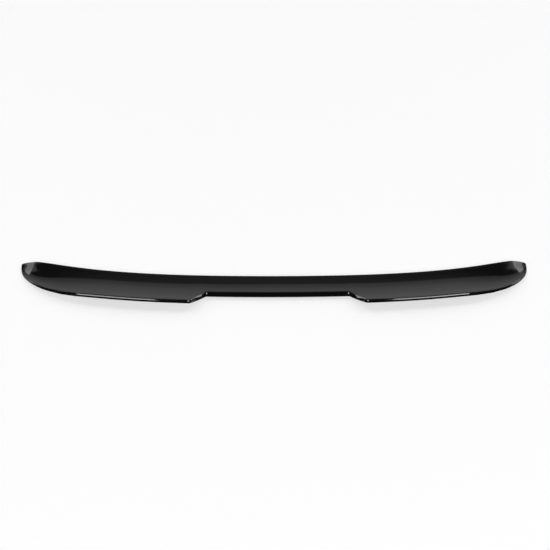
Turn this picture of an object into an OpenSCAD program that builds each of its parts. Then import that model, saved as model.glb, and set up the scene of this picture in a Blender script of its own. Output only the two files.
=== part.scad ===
// Car rear spoiler: a boot-lid lip with two duck-tail wings and a recessed middle.
// One moulded shell, open underneath, with ribs and two bonding lands.
// X runs along the boot lid, -Y is the trailing side, Z is up.
// The origin lies on the plane the heel stands on, under the middle of the part.

/* [Plan outline] */
// Width from tip to tip
span = 1250; // [1150:10:1350]
// Leading edge to top trailing edge in the recessed middle
middle_chord = 63; // [58:0.5:72]
// Leading edge to top trailing edge across the wings
wing_chord = 105.5; // [103:0.5:116]
// How far forward the plan curve carries the tips
sweep = 70.4; // [52:0.2:78]
// Share of that sweep that comes in the outer half
late_sweep = 0.54; // [0.35:0.01:0.6]
// Width of the recess between its inner corners
recess_w = 341; // [290:1:400]
// Length along X of each slanted end of the recess
recess_run = 46; // [36:0.5:56]
// Share of each slant that is rounded into its neighbours
recess_round = 0.12; // [0.08:0.01:0.3]
// Rounding of the rear tip corner, along X
tail_corner_x = 157; // [140:1:200]
// Rounding of the rear tip corner, along Y
tail_corner_y = 83; // [76:0.5:86]
// Fullness of that corner, where 2 is an ellipse
corner_fullness = 2.3; // [1.9:0.05:2.5]
// Rounding of the front tip corner, along X
nose_corner_x = 47; // [40:0.5:64]
// Rounding of the front tip corner, along Y
nose_corner_y = 16.5; // [12:0.1:18]
// Fullness of the front tip corner, where 2 is an ellipse
nose_fullness = 1.8; // [1.7:0.1:2.6]

/* [Top surface] */
// Thickness of the leading edge
lead_t = 2.6; // [2.2:0.1:3.4]
// Fall per millimetre just behind the leading edge
dip = 0.12; // [0.08:0.01:0.16]
// Rise per millimetre at the trailing edge
kick = 0.36; // [0.28:0.01:0.42]
// How late the rise starts in the middle and the wings
rise_power = 0.9; // [0.8:0.05:1.2]
// How much later it starts at the tips
rise_power_gain = 2; // [1.4:0.1:2.4]
// Distance of the tip crease from the tip at the leading edge
crease_lead = 33; // [26:1:36]
// Distance of the tip crease from the tip at the trailing edge
crease_tail = 16; // [10:0.5:18]
// Share of the landing slope lost where the tips roll down
tip_roll = 0.1; // [0.05:0.01:0.2]
// Drop of the soft shoulder along the tip crease
shoulder_drop = 0.3; // [0.1:0.1:0.8]
// Width over which the shoulder comes down
shoulder_w = 10; // [10:1:18]
// Height of the underside at the very tips
tip_lift = 0.5; // [0:0.5:2]
// Share of the fall outside the crease that comes as a crown
tip_crown = 0; // [0:0.05:0.2]

/* [Trailing edge face] */
// Height of the face in the recessed middle
middle_face = 9.9; // [9:0.1:11]
// Height of the face on the wings
wing_face = 7.6; // [7:0.1:9]
// Lean of the face, foot to the rear, in degrees
face_lean = 32; // [20:1:36]
// Radius between the top surface and the face
brow_r = 1.6; // [1:0.1:2]
// Extra share of that radius on the slanted ends of the recess
slant_brow = 0.9; // [0:0.1:1.2]
// Extra share of the lean on the slanted ends of the recess
slant_lean = 0.6; // [0.3:0.1:0.9]
// Bulge of the face at half its height
face_bulge = 0.15; // [0.05:0.05:0.3]

/* [Underside] */
// Slope of the bonding lands, front side up, in degrees
land_slope = 9.5; // [8:0.5:11]
// Distance of the heel from the foot of the middle face
heel_inset = 6; // [5:0.5:8]
// Skin thickness
skin = 3; // [2.6:0.1:3.2]
// Width of the front bonding land
front_land = 16; // [14:0.5:18]
// Width of the heel rail
rail_w = 8.5; // [7.5:0.5:10]
// Depth of the tape bed in both lands
bed_d = 0.8; // [0.6:0.1:1]
// Margin beside the tape bed
bed_margin = 1.4; // [1.2:0.1:1.8]
// Ribs on each side of the middle
rib_count = 6; // [5:1:7]
// Rib thickness at its free edge
rib_t = 2.4; // [2:0.1:3]
// Draft on each side of a rib, over its depth
rib_draft = 0.6; // [0.4:0.1:0.8]
// Clearance of the rib edges above the lands
rib_gap = 1.5; // [1.2:0.1:2]

/* [Hidden] */

half = span / 2;
crease_s = half - crease_lead;
roll_s = crease_s - 45;
skew = crease_lead - crease_tail;
pocket_end = crease_s - 10;
rib_pitch = (crease_s - 20) / rib_count;
middle_total = middle_chord + middle_face * tan(face_lean);
wing_total = wing_chord + wing_face * tan(face_lean);
tip_foot = 0.4;
tip_inset = 2.6;
chord_ref = 60;
top_n = 11;
roof_n = 3;

// Helpers: clamp to 0..1, linear blend, quarter ellipse, corner blend
function unit(t) = min(1, max(0, t));
function mix(a, b, t) = a + (b - a) * t;
function quarter(s, run, n = 2) =
    let (w = unit((s - half + run) / run))
    1 - pow(1 - pow(w, n), 1 / n);
function round_off(a, c, b, t) = (1 - t) * (1 - t) * a + 2 * t * (1 - t) * c + t * t * b;

// Ramp from 0 to 1 with both ends rounded
function ramp(t, e) =
    t <= 0 ? 0 :
    t >= 1 ? 1 :
    t < e ? t * t / (2 * e * (1 - e)) :
    t > 1 - e ? 1 - (1 - t) * (1 - t) / (2 * e * (1 - e)) :
    (t - e / 2) / (1 - e);

// Plan curves over the distance s from the middle
function wing_share(s) = ramp((s - recess_w / 2) / recess_run, recess_round);
function swept(s) =
    let (u = s / half)
    sweep * ((1 - late_sweep) * u * u + late_sweep * pow(u, 4));
function lead_line(s) = swept(s) - nose_corner_y * quarter(s, nose_corner_x, nose_fullness);
function tail_line(s) =
    swept(s) - mix(middle_total, wing_total, wing_share(s))
    + tail_corner_y * quarter(s, tail_corner_x, corner_fullness);
heel_start = heel_inset - middle_total;
heel_corner = tail_line(half) + tip_inset - heel_start - sweep;
function heel_line(s) = heel_start + swept(s) + heel_corner * quarter(s, 0.15 * half);

// The depth is centred on the origin
front_y = max([for (i = [0:40]) lead_line(half - i * 2)]);
rear_y = min([for (i = [0:60]) tail_line(recess_w / 2 + recess_run + i)]);
lead_y0 = -(front_y + rear_y) / 2;

// Height of the trailing edge face
function face_h(s) =
    mix(middle_face, wing_face, wing_share(s)) * (1 - 0.72 * quarter(s, tail_corner_x));

// Rise exponent of the top surface
function power_at(s) = rise_power + rise_power_gain * pow(max(0, s / half - 0.55) / 0.4, 4);

// 1 in an open bay, 0 inside a rib or past the end of the pockets
function rib_at(i) = (i + 0.5) * rib_pitch;
function bay(s) =
    s >= pocket_end ? 0 :
    min([
        unit((pocket_end - s) / rib_draft),
        for (i = [0:rib_count - 1])
            unit((abs(s - rib_at(i)) - rib_t / 2) / rib_draft)
    ]);

// One closed section: along the top from the leading edge, then back underneath.
// s is the distance from the middle at the leading edge, side is -1 or 1.
function section(s, side) =
    let (
        past = unit((s - crease_s) / crease_lead),
        lead_in = unit((s - crease_s + 58) / 58),
        st = past > 0 ? mix(half - crease_tail, half, past) : s + skew * lead_in,
        yl = lead_y0 + lead_line(s),
        yt = lead_y0 + tail_line(st),
        yh = lead_y0 + heel_line((s + 2 * st) / 3),
        k = min(1, (yl - yt) / chord_ref),
        roll = pow(unit((s - roll_s) / (crease_s - roll_s)), 2),
        slope = tan(land_slope) * (1 - tip_roll * roll),
        h = face_h(st),
        w = wing_share(st),
        slant_here = 4 * w * (1 - w),
        lean = h * tan(face_lean) * (1 + slant_lean * slant_here),
        lean_deg = atan(lean / h),
        q_tail = yl - yt - lean,
        q_full = q_tail + (wing_total - middle_total) * (1 - w),
        p = power_at(s),
        z_lead = slope * (yl - yh) + lead_t,
        r = brow_r * k * (1 + slant_brow * slant_here),
        shoulder = shoulder_drop * k * pow(unit((s - crease_s + shoulder_w) / shoulder_w), 2),
        fall = (1 - tip_crown) * past + tip_crown * past * past * past,
        open1 = bay(s),
        open2 = open1 * wing_share(s)
    )
    let (
        // heights at a distance q behind the leading edge
        top_at = function (q)
            z_lead - dip * q + (dip + kick) * q * pow(q / q_full, p) / (p + 1)
            - shoulder * unit(q / 20) * unit((q_full - q) / 12),
        land_at = function (y) slope * (y - yh)
    )
    let (
        brow = [yl - q_tail, top_at(q_tail)],
        foot_z = brow[1] - h,
        brow_a = [brow[0] + r, top_at(q_tail - r)],
        brow_b = brow - r * [sin(lean_deg), cos(lean_deg)],
        foot = [yt, foot_z],
        foot_in = [yt + skin * k, foot_z],
        nose_r = 1.1 * k,
        nose = [yl, z_lead],
        nose_b = [yl - nose_r, top_at(nose_r)],
        pocket_y = function (z) foot_in[0] + (z - foot_z) * tan(lean_deg),
        roof1 = function (y)
            mix(
                land_at(y) + rib_gap,
                max(land_at(y) + 0.8, top_at(yl - y) - skin),
                open1
            ),
        gusset = function (y)
            mix(foot_z + 0.6, 3, unit((y - foot_in[0]) / (yh - foot_in[0]))),
        roof2 = function (y) mix(gusset(y), top_at(yl - y) - skin, open2),
        wall_z = roof2(foot_in[0] + 3 * k),
        back_y = mix(foot_in[0] + 0.3 * k, pocket_y(wall_z), open2),
        draft = 0.5 * k,
        rail_y = yh + rail_w * k,
        land_y = yl - front_land * k,
        m = bed_margin * k,
        slant = 0.3 * k,
        d = bed_d * k
    )
    let (
        yz = [
            // leading edge
            [yl, land_at(yl)],
            nose - [0, nose_r],
            round_off(nose - [0, nose_r], nose, nose_b, 0.5),
            nose_b,
            // top surface
            for (i = [1:top_n])
                let (q = mix(nose_r, q_tail - r, i / (top_n + 1)))
                [yl - q, top_at(q)],
            // brow and trailing edge face
            for (t = [0, 1 / 3, 2 / 3, 1]) round_off(brow_a, brow, brow_b, t),
            (brow_b + foot) / 2 + face_bulge * k * [-cos(lean_deg), sin(lean_deg)],
            foot + 0.7 * k * [sin(lean_deg), cos(lean_deg)],
            foot + [0.8 * k, 0],
            // rear pocket
            foot_in,
            [back_y, roof2(back_y)],
            for (i = [1:roof_n])
                let (y = mix(back_y, yh - draft, i / (roof_n + 1)))
                [y, roof2(y)],
            [yh - draft, roof2(yh - draft)],
            // heel rail with its tape bed
            [yh, 0],
            for (b = [m, m + slant]) [yh + b, land_at(yh + b) + (b > m ? d : 0)],
            for (b = [m + slant, m]) [rail_y - b, land_at(rail_y - b) + (b > m ? d : 0)],
            [rail_y, land_at(rail_y)],
            // front pocket
            [rail_y + draft, roof1(rail_y + draft)],
            for (i = [1:roof_n])
                let (y = mix(rail_y + draft, land_y - draft, i / (roof_n + 1)))
                [y, roof1(y)],
            [land_y - draft, roof1(land_y - draft)],
            // front land with its tape bed
            [land_y, land_at(land_y)],
            for (b = [m, m + slant]) [land_y + b, land_at(land_y + b) + (b > m ? d : 0)],
            for (b = [m + slant, m]) [yl - b, land_at(yl - b) + (b > m ? d : 0)]
        ],
        top_count = top_n + 11,
        flat = function (i)
            tip_lift + (
                i == 0 || i >= top_count ? 0 :
                    mix(tip_foot, lead_t, unit((yz[i][1] - foot_z) / h))
            )
    )
    [
        for (i = [0:len(yz) - 1])
            let (
                f = (yl - yz[i][0]) / (yl - yt),
                z = mix(yz[i][1], flat(i), fall)
            )
            [side * mix(s, st, unit(f)), yz[i][0], z]
    ];

// Sorted list of stations on one side, kept clear of the rib edges
function sorted(v) =
    len(v) < 2 ? v :
    let (
        pivot = v[floor(len(v) / 2)],
        low = [for (a = v) if (a < pivot) a],
        high = [for (a = v) if (a > pivot) a]
    )
    concat(sorted(low), [pivot], sorted(high));
rib_half = rib_t / 2 + rib_draft;
function clear_of_ribs(s) =
    min([for (i = [0:rib_count - 1]) abs(s - rib_at(i))]) > rib_half + 1
    && abs(s - pocket_end) > 2;
rib_marks = [
    for (i = [0:rib_count - 1])
        for (w = [-rib_half, -rib_t / 2, rib_t / 2, rib_half])
            rib_at(i) + w
];
recess_marks = [for (t = [0, 0.1, 0.2, 0.35, 0.5, 0.65, 0.8, 0.9, 1]) recess_w / 2 + recess_run * t];
wing_marks = [for (i = [1:9]) mix(recess_w / 2 + recess_run + 16, crease_s - 40, i / 10)];
middle_marks = [for (i = [1:3]) (recess_w / 2 - 12) * i / 3];
roll_marks = [
    for (i = [0:3]) mix(crease_s - 40, crease_s - shoulder_w, i / 3),
    for (t = [0.3, 0.55, 0.8]) crease_s - shoulder_w * (1 - t)
];
tip_marks = [for (t = [0.2, 0.4, 0.57, 0.7, 0.8, 0.88, 0.94, 0.975, 0.993, 1]) mix(crease_s, half, t)];
free_marks = concat(recess_marks, wing_marks, middle_marks, roll_marks);
stations = sorted(concat(
    rib_marks,
    [for (s = free_marks) if (clear_of_ribs(s)) s],
    [pocket_end - rib_draft, pocket_end, crease_s],
    tip_marks
));
count = len(stations);

// Skin a row of sections into one closed body
module loft(rows) {
    n = len(rows[0]);
    last = len(rows) - 1;
    polyhedron(
        points = [for (row = rows) each row],
        faces = [
            for (i = [0:last - 1])
                for (j = [0:n - 1])
                    let (
                        a = i * n + j,
                        b = i * n + (j + 1) % n,
                        c = b + n,
                        d = a + n
                    )
                    each (i < last / 2 ? [[a, c, b], [a, d, c]] : [[a, d, b], [b, d, c]]),
            for (j = [0:n / 2 - 2])
                each [
                    [j, j + 1, n - 1 - j],
                    [j + 1, n - 2 - j, n - 1 - j]
                ],
            for (j = [0:n / 2 - 2])
                let (e = last * n)
                each [
                    [e + j, e + n - 1 - j, e + j + 1],
                    [e + j + 1, e + n - 1 - j, e + n - 2 - j]
                ]
        ]
    );
}

module spoiler() {
    color([0.02, 0.02, 0.02])
        loft([
            for (i = [0:count - 1]) section(stations[count - 1 - i], -1),
            section(0, 1),
            for (i = [0:count - 1]) section(stations[i], 1)
        ]);
}

spoiler();
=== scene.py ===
import math

import bpy
from mathutils import Matrix, Quaternion, Vector

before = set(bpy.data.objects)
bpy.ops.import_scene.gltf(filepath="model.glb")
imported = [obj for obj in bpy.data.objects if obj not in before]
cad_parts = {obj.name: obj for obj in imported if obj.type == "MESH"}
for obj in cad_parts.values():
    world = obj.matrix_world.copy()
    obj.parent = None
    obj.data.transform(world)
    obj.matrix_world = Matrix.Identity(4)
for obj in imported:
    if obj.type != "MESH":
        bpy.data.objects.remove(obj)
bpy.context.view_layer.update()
print("frame loaded:", sorted(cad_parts))


# helpers
def addNode(tree, kind, place, **settings):
    node = tree.nodes.new(kind)
    node.location = place
    for name, value in settings.items():
        setattr(node, name, value)
    return node


def feed(tree, socket, value):
    # a value is a constant or the output of another node
    if isinstance(value, bpy.types.NodeSocket):
        tree.links.new(value, socket)
    else:
        socket.default_value = value


def calc(tree, operation, place, *values):
    node = addNode(tree, "ShaderNodeMath", place, operation=operation)
    for socket, value in zip(node.inputs, values):
        feed(tree, socket, value)
    return node.outputs[0]


def product(tree, place, first, *others):
    total = first
    for step, other in enumerate(others):
        total = calc(tree, "MULTIPLY", (place[0] + 150 * step, place[1]), total, other)
    return total


def smoothBand(tree, place, value, span, levels=(0.0, 1.0)):
    node = addNode(tree, "ShaderNodeMapRange", place, interpolation_type="SMOOTHSTEP")
    names = ("Value", "From Min", "From Max", "To Min", "To Max")
    for name, entry in zip(names, (value, *span, *levels)):
        feed(tree, node.inputs[name], entry)
    return node.outputs["Result"]


def blend(tree, kind, place, factor, low, high):
    # a mix node keeps its own sockets for each kind of value
    lowAt, highAt, resultAt = {"FLOAT": (2, 3, 0), "RGBA": (6, 7, 2)}[kind]
    node = addNode(tree, "ShaderNodeMix", place, data_type=kind)
    feed(tree, node.inputs["Factor"], factor)
    feed(tree, node.inputs[lowAt], low)
    feed(tree, node.inputs[highAt], high)
    return node.outputs[resultAt]


# camera
cameraSetup = {
    "azimuth": -4.124,      # degrees round the part, negative is from its left
    "elevation": 42.0,
    "distance": 4.5,
    "levelling": -0.146,    # degrees added to the roll that keeps the part level
    "framedWidth": 1.3457,  # metres across the picture at the part
    "aimRight": -0.0045,
    "aimUp": 0.0272,
    "sensorWidth": 36.0,    # millimetres
    "clip": (0.1, 60.0),
}


def buildCamera(setup):
    azimuth = math.radians(setup["azimuth"])
    elevation = math.radians(setup["elevation"])
    back = Vector((math.sin(azimuth) * math.cos(elevation),
                   -math.cos(azimuth) * math.cos(elevation),
                   math.sin(elevation)))
    right = Vector((math.cos(azimuth), math.sin(azimuth), 0.0))
    up = back.cross(right)
    roll = math.atan2(up.x, right.x) + math.radians(setup["levelling"])
    rolledRight = right * math.cos(roll) + up * math.sin(roll)
    rolledUp = up * math.cos(roll) - right * math.sin(roll)
    data = bpy.data.cameras.new("studioCamera")
    data.sensor_width = setup["sensorWidth"]
    data.lens = data.sensor_width * setup["distance"] / setup["framedWidth"]
    data.clip_start, data.clip_end = setup["clip"]
    camera = bpy.data.objects.new("studioCamera", data)
    bpy.context.scene.collection.objects.link(camera)
    place = back * setup["distance"]
    place = place + rolledRight * setup["aimRight"] + rolledUp * setup["aimUp"]
    turn = Matrix((rolledRight, rolledUp, back)).transposed().to_4x4()
    camera.matrix_world = Matrix.Translation(place) @ turn
    bpy.context.scene.camera = camera


buildCamera(cameraSetup)
print("camera placed")


# moulded shell
shellSetup = {
    "node": "spoiler",
    "refraction": 1.5,
    "baseDark": (0.0022, 0.0022, 0.0024, 1.0),
    "baseLight": (0.0040, 0.0040, 0.0044, 1.0),
    "cloud": (9.0, 3.0),                # noise scale and detail
    "cloudBand": (0.35, 0.65),
    "glossRoughness": (0.035, 0.060),
    "undersideRoughness": (0.42, 0.55),
    "undersideBand": (0.05, -0.35),     # upward share of the normal, top to underside
    # finishes: noise scale, noise detail and height in metres
    "orangePeel": (260.0, 1.0, 0.0000015),
    "waviness": (14.0, 0.0, 0.00002),
    "undersideGrain": (1800.0, 2.0, 0.00003),
    "weldDistance": 0.000005,
    "sharpAngle": 32.0,                 # degrees; softer edges than this are smoothed
    "creaseAngle": 2.5,                 # the same along the tip creases
    "creaseAhead": (0.5920, 0.0815),    # x and y where a crease meets the leading edge
    "creaseBehind": (0.6090, 0.0178),   # and the trailing edge
    "creaseReach": 0.0012,
}


def buildShellMaterial(setup):
    material = bpy.data.materials.new("glossBlackMoulding")
    material.use_nodes = True
    tree = material.node_tree
    tree.nodes.clear()
    output = addNode(tree, "ShaderNodeOutputMaterial", (900, 0))
    shader = addNode(tree, "ShaderNodeBsdfPrincipled", (600, 0))
    shader.inputs["IOR"].default_value = setup["refraction"]
    tree.links.new(shader.outputs[0], output.inputs["Surface"])
    coordinates = addNode(tree, "ShaderNodeTexCoord", (-1000, 0)).outputs["Object"]
    normal = addNode(tree, "ShaderNodeNewGeometry", (-1000, -400)).outputs["Normal"]
    parts = addNode(tree, "ShaderNodeSeparateXYZ", (-800, -400))
    tree.links.new(normal, parts.inputs[0])
    underneath = smoothBand(tree, (-600, -400), parts.outputs["Z"], setup["undersideBand"])

    def noise(place, scale, detail):
        node = addNode(tree, "ShaderNodeTexNoise", place)
        node.inputs["Scale"].default_value = scale
        node.inputs["Detail"].default_value = detail
        tree.links.new(coordinates, node.inputs["Vector"])
        return node.outputs["Fac"]

    def relief(place, scale, detail, height):
        grains = noise(place, scale, detail)
        return calc(tree, "MULTIPLY", (place[0] + 300, place[1]), grains, height)

    cloud = noise((-800, 300), *setup["cloud"])
    color = blend(tree, "RGBA", (-200, 300), cloud, setup["baseDark"], setup["baseLight"])
    tree.links.new(color, shader.inputs["Base Color"])

    glossy = smoothBand(tree, (-400, 100), cloud, setup["cloudBand"],
                        setup["glossRoughness"])
    satin = smoothBand(tree, (-400, -100), cloud, setup["cloudBand"],
                       setup["undersideRoughness"])
    rough = blend(tree, "FLOAT", (-100, 0), underneath, glossy, satin)
    tree.links.new(rough, shader.inputs["Roughness"])

    peel = relief((-800, -650), *setup["orangePeel"])
    waves = relief((-800, -850), *setup["waviness"])
    grain = relief((-800, -1050), *setup["undersideGrain"])
    height = calc(tree, "ADD", (-350, -750), waves, peel)
    height = calc(tree, "MULTIPLY_ADD", (-200, -850), grain, underneath, height)
    bump = addNode(tree, "ShaderNodeBump", (200, -600))
    bump.inputs["Strength"].default_value = 1.0
    bump.inputs["Distance"].default_value = 1.0
    tree.links.new(height, bump.inputs["Height"])
    tree.links.new(bump.outputs[0], shader.inputs["Normal"])
    return material


def addEdgeShading(target, setup):
    # welds the facets and shades them smooth, leaving real edges crisp
    group = bpy.data.node_groups.new("mouldedEdges", "GeometryNodeTree")
    for way in ("INPUT", "OUTPUT"):
        group.interface.new_socket("Geometry", in_out=way, socket_type="NodeSocketGeometry")
    entry = addNode(group, "NodeGroupInput", (-900, 0))
    leave = addNode(group, "NodeGroupOutput", (700, 0))
    drop = addNode(group, "GeometryNodeRemoveAttribute", (-700, 0))
    drop.inputs["Name"].default_value = "custom_normal"
    weld = addNode(group, "GeometryNodeMergeByDistance", (-500, 0))
    weld.inputs["Distance"].default_value = setup["weldDistance"]
    faces = addNode(group, "GeometryNodeSetShadeSmooth", (-100, 0), domain="FACE")
    edges = addNode(group, "GeometryNodeSetShadeSmooth", (300, 0), domain="EDGE")
    edges.inputs["Shade Smooth"].default_value = False

    # how far an edge is from the line of its tip crease
    position = addNode(group, "GeometryNodeInputPosition", (-700, -450)).outputs[0]
    split = addNode(group, "ShaderNodeSeparateXYZ", (-500, -450))
    group.links.new(position, split.inputs[0])
    (aheadX, aheadY), (behindX, behindY) = setup["creaseAhead"], setup["creaseBehind"]
    slant = (behindX - aheadX) / (behindY - aheadY)
    across = calc(group, "ABSOLUTE", (-300, -450), split.outputs["X"])
    offset = calc(group, "MULTIPLY_ADD", (-150, -500), split.outputs["Y"], -slant,
                  aheadY * slant - aheadX)
    offset = calc(group, "ADD", (0, -450), across, offset)
    offset = calc(group, "ABSOLUTE", (50, -550), offset)

    # on that line a smaller angle already counts as crisp
    onCrease = calc(group, "LESS_THAN", (100, -650), offset, setup["creaseReach"])
    sharp = math.radians(setup["sharpAngle"])
    creaseDrop = math.radians(setup["creaseAngle"] - setup["sharpAngle"])
    limit = calc(group, "MULTIPLY_ADD", (150, -450), onCrease, creaseDrop, sharp)
    angle = addNode(group, "GeometryNodeInputMeshEdgeAngle", (-700, -300)).outputs[0]
    isSharp = calc(group, "GREATER_THAN", (200, -300), angle, limit)
    group.links.new(isSharp, edges.inputs["Selection"])
    chain = (entry, drop, weld, faces, edges, leave)
    for start, end in zip(chain, chain[1:]):
        group.links.new(start.outputs[0], end.inputs[0])
    modifier = target.modifiers.new("mouldedEdges", "NODES")
    modifier.node_group = group


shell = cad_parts[shellSetup["node"]]
shellMaterial = buildShellMaterial(shellSetup)
for slot in shell.material_slots:
    slot.material = shellMaterial
addEdgeShading(shell, shellSetup)
print("shell finished")


# floor
floorSetup = {
    "size": 14.0,
    "color": (0.40, 0.40, 0.40, 1.0),
    "lift": 0.623,          # added for camera and glossy rays, up to the picture's white
}


def buildFloor(setup):
    half = setup["size"] / 2
    corners = [(-half, -half, 0), (half, -half, 0), (half, half, 0), (-half, half, 0)]
    mesh = bpy.data.meshes.new("studioFloor")
    mesh.from_pydata(corners, [], [(0, 1, 2, 3)])
    floor = bpy.data.objects.new("studioFloor", mesh)
    bpy.context.scene.collection.objects.link(floor)
    material = bpy.data.materials.new("paleFloor")
    material.use_nodes = True
    tree = material.node_tree
    tree.nodes.clear()
    output = addNode(tree, "ShaderNodeOutputMaterial", (600, 0))
    matt = addNode(tree, "ShaderNodeBsdfDiffuse", (0, 0))
    matt.inputs["Color"].default_value = setup["color"]
    glow = addNode(tree, "ShaderNodeEmission", (0, -200))
    rays = addNode(tree, "ShaderNodeLightPath", (-450, -200)).outputs
    seen = calc(tree, "MAXIMUM", (-300, -200), rays["Is Camera Ray"], rays["Is Glossy Ray"])
    strength = calc(tree, "MULTIPLY", (-150, -200), seen, setup["lift"])
    tree.links.new(strength, glow.inputs["Strength"])
    both = addNode(tree, "ShaderNodeAddShader", (300, 0))
    tree.links.new(matt.outputs[0], both.inputs[0])
    tree.links.new(glow.outputs[0], both.inputs[1])
    tree.links.new(both.outputs[0], output.inputs["Surface"])
    mesh.materials.append(material)


buildFloor(floorSetup)
print("floor laid")


# studio, with every angle in degrees
studioSetup = {
    "centreTurn": 4.1,            # the camera looks this way; turns below start here
    # pale sweep ahead, as brightness against elevation
    "ahead": ((0, 0.50), (10, 0.60), (27, 0.64), (34, 0.46), (38.5, 0.36), (41.0, 0.0)),
    "aheadSpan": 90.0,
    "aheadFade": (60, 100),
    # how far its upper edge comes down, against turn
    "aheadDrop": ((0, 1.0), (7, 3.2), (12, 0.3), (16, 3.5)),
    "dropSpan": 30.0,
    # brighter patch to either side, which the tips mirror
    "flank": 2.9,
    "flankTurn": (20.5, 25),
    "flankEnd": (44, 60),
    "flankFoot": (12, 24),
    "flankTop": (40.5, 43),
    "flankRise": (27.5, 0.9),     # its top rises past this turn, per degree
    # dimmer rim round that patch
    "halo": 0.8,
    "haloTurn": (20, 25),
    "haloTop": (45, 47.5),
    # dim ceiling with a soft glow ahead
    "ceiling": 0.05,
    "glow": 0.19,
    "glowSpread": 15.0,
    "glowLevel": 45.0,            # elevation where the glow has its plain strength
    "glowRise": 0.009,            # share that it gains per degree above
}
# turn goes round the part from its front, positive to its right
softboxSetup = (
    {"name": "leftRearSoftbox", "turn": -153.5, "elevation": 29.5, "distance": 4.0,
     "width": 1.6, "height": 0.9, "lean": 15, "power": 35},
    {"name": "rightRearSoftbox", "turn": 150, "elevation": 29.5, "distance": 4.0,
     "width": 1.3, "height": 0.9, "lean": -15, "power": 34},
    {"name": "leftFill", "turn": -57, "elevation": 46, "distance": 4.0,
     "width": 1.6, "height": 2.2, "lean": 0, "power": 32},
    {"name": "rightFill", "turn": 57, "elevation": 46, "distance": 4.0,
     "width": 1.6, "height": 2.2, "lean": 0, "power": 32},
    {"name": "leftSideSoftbox", "turn": -87, "elevation": 17, "distance": 7.0,
     "width": 2.1, "height": 1.9, "lean": 0, "power": 72},
    {"name": "rightSideSoftbox", "turn": 87, "elevation": 17, "distance": 7.0,
     "width": 2.1, "height": 1.9, "lean": 0, "power": 72},
)


def levelCurve(tree, place, value, points, span):
    share = calc(tree, "DIVIDE", place, value, span)
    ramp = addNode(tree, "ShaderNodeValToRGB", (place[0] + 150, place[1]))
    stops = ramp.color_ramp.elements
    while len(stops) < len(points):
        stops.new(0.5)
    for stop, (degrees, level) in zip(stops, points):
        stop.position = degrees / span
        stop.color = (level, level, level, 1.0)
    tree.links.new(share, ramp.inputs[0])
    return ramp.outputs[0]


def sweepAhead(tree, setup, turn, elevation):
    drop = levelCurve(tree, (-1000, 450), turn, setup["aheadDrop"], setup["dropSpan"])
    raised = calc(tree, "ADD", (-650, 450), elevation, drop)
    ahead = levelCurve(tree, (-500, 300), raised, setup["ahead"], setup["aheadSpan"])
    inFront = smoothBand(tree, (-350, 50), turn, setup["aheadFade"], (1.0, 0.0))
    return calc(tree, "MULTIPLY", (0, 250), ahead, inFront)


def flanksBeside(tree, setup, turn, elevation):
    riseFrom, riseRate = setup["flankRise"]
    rise = calc(tree, "SUBTRACT", (-650, -550), turn, riseFrom)
    lowered = calc(tree, "MULTIPLY_ADD", (-500, -550), rise, -riseRate, elevation)
    foot = smoothBand(tree, (-350, -500), elevation, setup["flankFoot"])
    end = smoothBand(tree, (-350, -350), turn, setup["flankEnd"], (1.0, 0.0))
    begin = smoothBand(tree, (-350, -150), turn, setup["flankTurn"])
    top = smoothBand(tree, (-350, -400), lowered, setup["flankTop"], (1.0, 0.0))
    flank = product(tree, (-100, -200), begin, top, foot, end, setup["flank"])
    haloBegin = smoothBand(tree, (-350, -700), turn, setup["haloTurn"])
    haloTop = smoothBand(tree, (-350, -800), elevation, setup["haloTop"], (1.0, 0.0))
    halo = product(tree, (-100, -400), haloBegin, haloTop, foot, end, setup["halo"])
    return calc(tree, "MAXIMUM", (550, -300), flank, halo)


def glowAbove(tree, setup, turn, elevation):
    glow = smoothBand(tree, (-50, -650), turn, (0.0, setup["glowSpread"]),
                      (setup["glow"], 0.0))
    climb = calc(tree, "SUBTRACT", (-200, -850), elevation, setup["glowLevel"])
    climb = calc(tree, "MULTIPLY_ADD", (-50, -850), climb, setup["glowRise"], 1.0)
    climb = calc(tree, "MAXIMUM", (100, -850), climb, 0.0)
    return calc(tree, "MULTIPLY", (250, -700), glow, climb)


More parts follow.
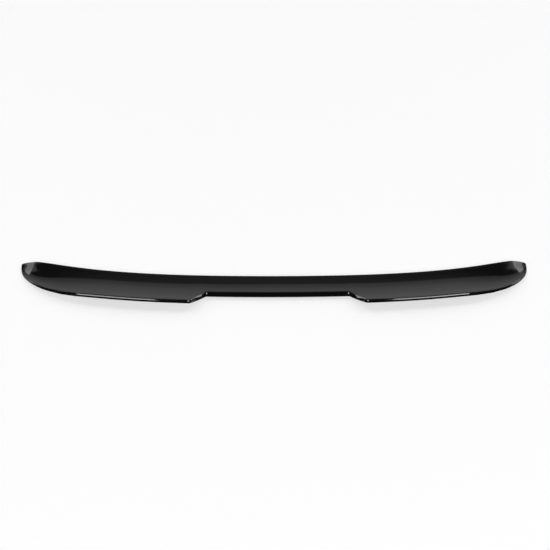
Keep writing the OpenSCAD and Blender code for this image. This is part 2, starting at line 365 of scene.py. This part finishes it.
def buildWorld(setup):
    world = bpy.data.worlds.new("softStudio")
    bpy.context.scene.world = world
    world.use_nodes = True
    tree = world.node_tree
    tree.nodes.clear()
    output = addNode(tree, "ShaderNodeOutputWorld", (1700, 0))
    direction = addNode(tree, "ShaderNodeTexCoord", (-1300, 0)).outputs["Generated"]
    parts = addNode(tree, "ShaderNodeSeparateXYZ", (-1100, 0))
    tree.links.new(direction, parts.inputs[0])
    elevation = calc(tree, "ARCSINE", (-900, 100), parts.outputs["Z"])
    elevation = calc(tree, "DEGREES", (-750, 100), elevation)
    azimuth = calc(tree, "ARCTAN2", (-900, -100), parts.outputs["X"], parts.outputs["Y"])
    azimuth = calc(tree, "DEGREES", (-750, -100), azimuth)
    turn = calc(tree, "SUBTRACT", (-600, -100), azimuth, setup["centreTurn"])
    turn = calc(tree, "ABSOLUTE", (-450, -100), turn)

    total = calc(tree, "ADD", (700, 100), sweepAhead(tree, setup, turn, elevation),
                 flanksBeside(tree, setup, turn, elevation))
    total = calc(tree, "ADD", (850, 0), total, glowAbove(tree, setup, turn, elevation))
    total = calc(tree, "ADD", (1000, -100), total, setup["ceiling"])
    studio = addNode(tree, "ShaderNodeBackground", (1150, -100))
    tree.links.new(total, studio.inputs["Strength"])
    white = addNode(tree, "ShaderNodeBackground", (1150, 150))
    white.inputs["Color"].default_value = (1, 1, 1, 1)
    rays = addNode(tree, "ShaderNodeLightPath", (1150, 400)).outputs
    pick = addNode(tree, "ShaderNodeMixShader", (1400, 0))
    tree.links.new(rays["Is Camera Ray"], pick.inputs[0])
    tree.links.new(studio.outputs[0], pick.inputs[1])
    tree.links.new(white.outputs[0], pick.inputs[2])
    tree.links.new(pick.outputs[0], output.inputs["Surface"])


def buildSoftbox(setup):
    turn = math.radians(setup["turn"])
    elevation = math.radians(setup["elevation"])
    toward = Vector((math.sin(turn) * math.cos(elevation),
                     math.cos(turn) * math.cos(elevation),
                     math.sin(elevation)))
    data = bpy.data.lights.new(setup["name"], "AREA")
    data.shape = "RECTANGLE"
    data.size, data.size_y = setup["width"], setup["height"]
    data.energy = setup["power"]
    box = bpy.data.objects.new(setup["name"], data)
    bpy.context.scene.collection.objects.link(box)
    box.location = toward * setup["distance"]
    box.rotation_mode = "QUATERNION"
    lean = Quaternion((0, 0, 1), math.radians(setup["lean"]))
    box.rotation_quaternion = toward.to_track_quat("Z", "Y") @ lean


buildWorld(studioSetup)
for softbox in softboxSetup:
    buildSoftbox(softbox)
bpy.context.scene.view_settings.view_transform = "Standard"
print("studio lit")
